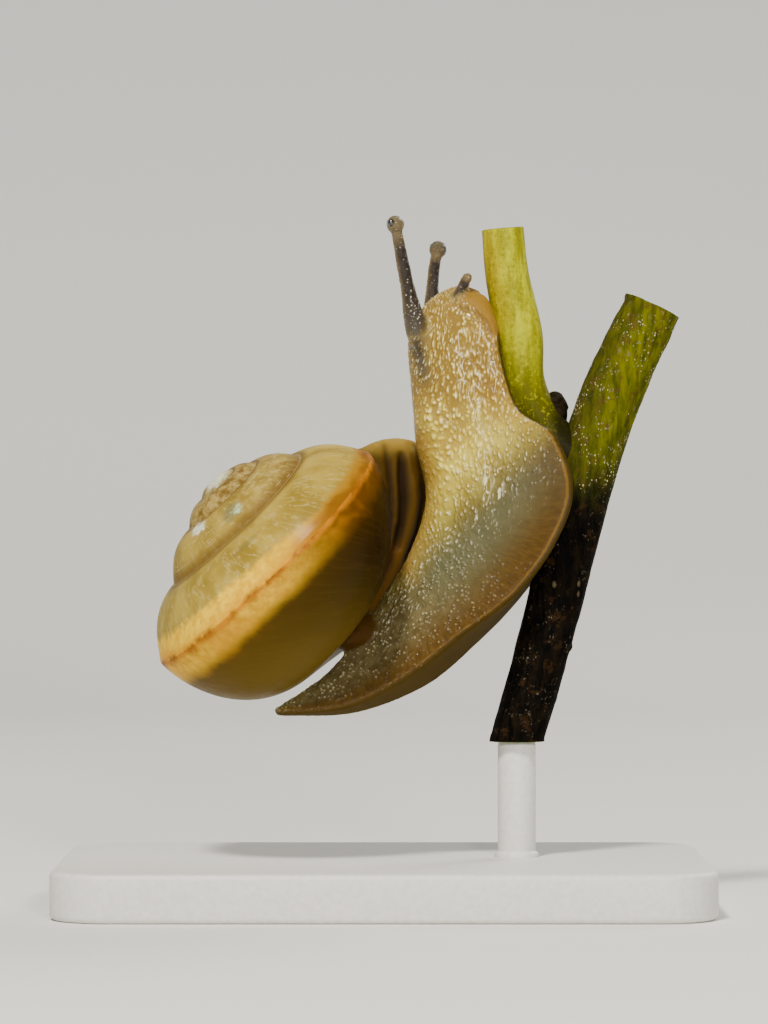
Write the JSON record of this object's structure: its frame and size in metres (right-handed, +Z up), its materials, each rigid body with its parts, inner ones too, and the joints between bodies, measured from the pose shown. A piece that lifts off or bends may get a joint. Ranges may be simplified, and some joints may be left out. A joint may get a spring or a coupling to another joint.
{
  "type": "snail model",
  "caption": "Life-size still model of a keeled, striped land snail reaching up a leaf stalk, on a short cut perch with a flat display stand.",
  "frame": {"origin": "middle of the stand's base, on the floor", "axes": "+Z up, the way the snail climbs; +X towards its sole and the stem, -X towards its shell; -Y is the snail's right side"},
  "size_m": [0.034, 0.022, 0.0362],
  "materials": {
    "flesh": "wet, granular, translucent skin",
    "shell": "glossy, with fine growth lines, a cream band and a red-brown keel line",
    "eye": "black, wet",
    "bark": "rough green-brown bark with pale flecks",
    "stalk": "smooth yellow-green leaf stalk",
    "stand": "satin, plain"
  },
  "bodies": {
    "root": {"mantle_collar": "flesh", "head": "flesh", "neck": "flesh", "foot_front": "flesh", "foot_rear": "flesh", "tail": "flesh", "tentacle_upper_right": "flesh", "tentacle_upper_left": "flesh", "tentacle_lower_right": "flesh", "tentacle_lower_left": "flesh", "lip_right": "flesh", "lip_left": "flesh", "shell": "shell", "eye_right": "eye", "eye_left": "eye", "perch_stem": "bark", "perch_bud": "bark", "perch_leaf_stalk": "stalk", "stand_base": "stand", "stand_rod": "stand"}
  },
  "joints": []
}
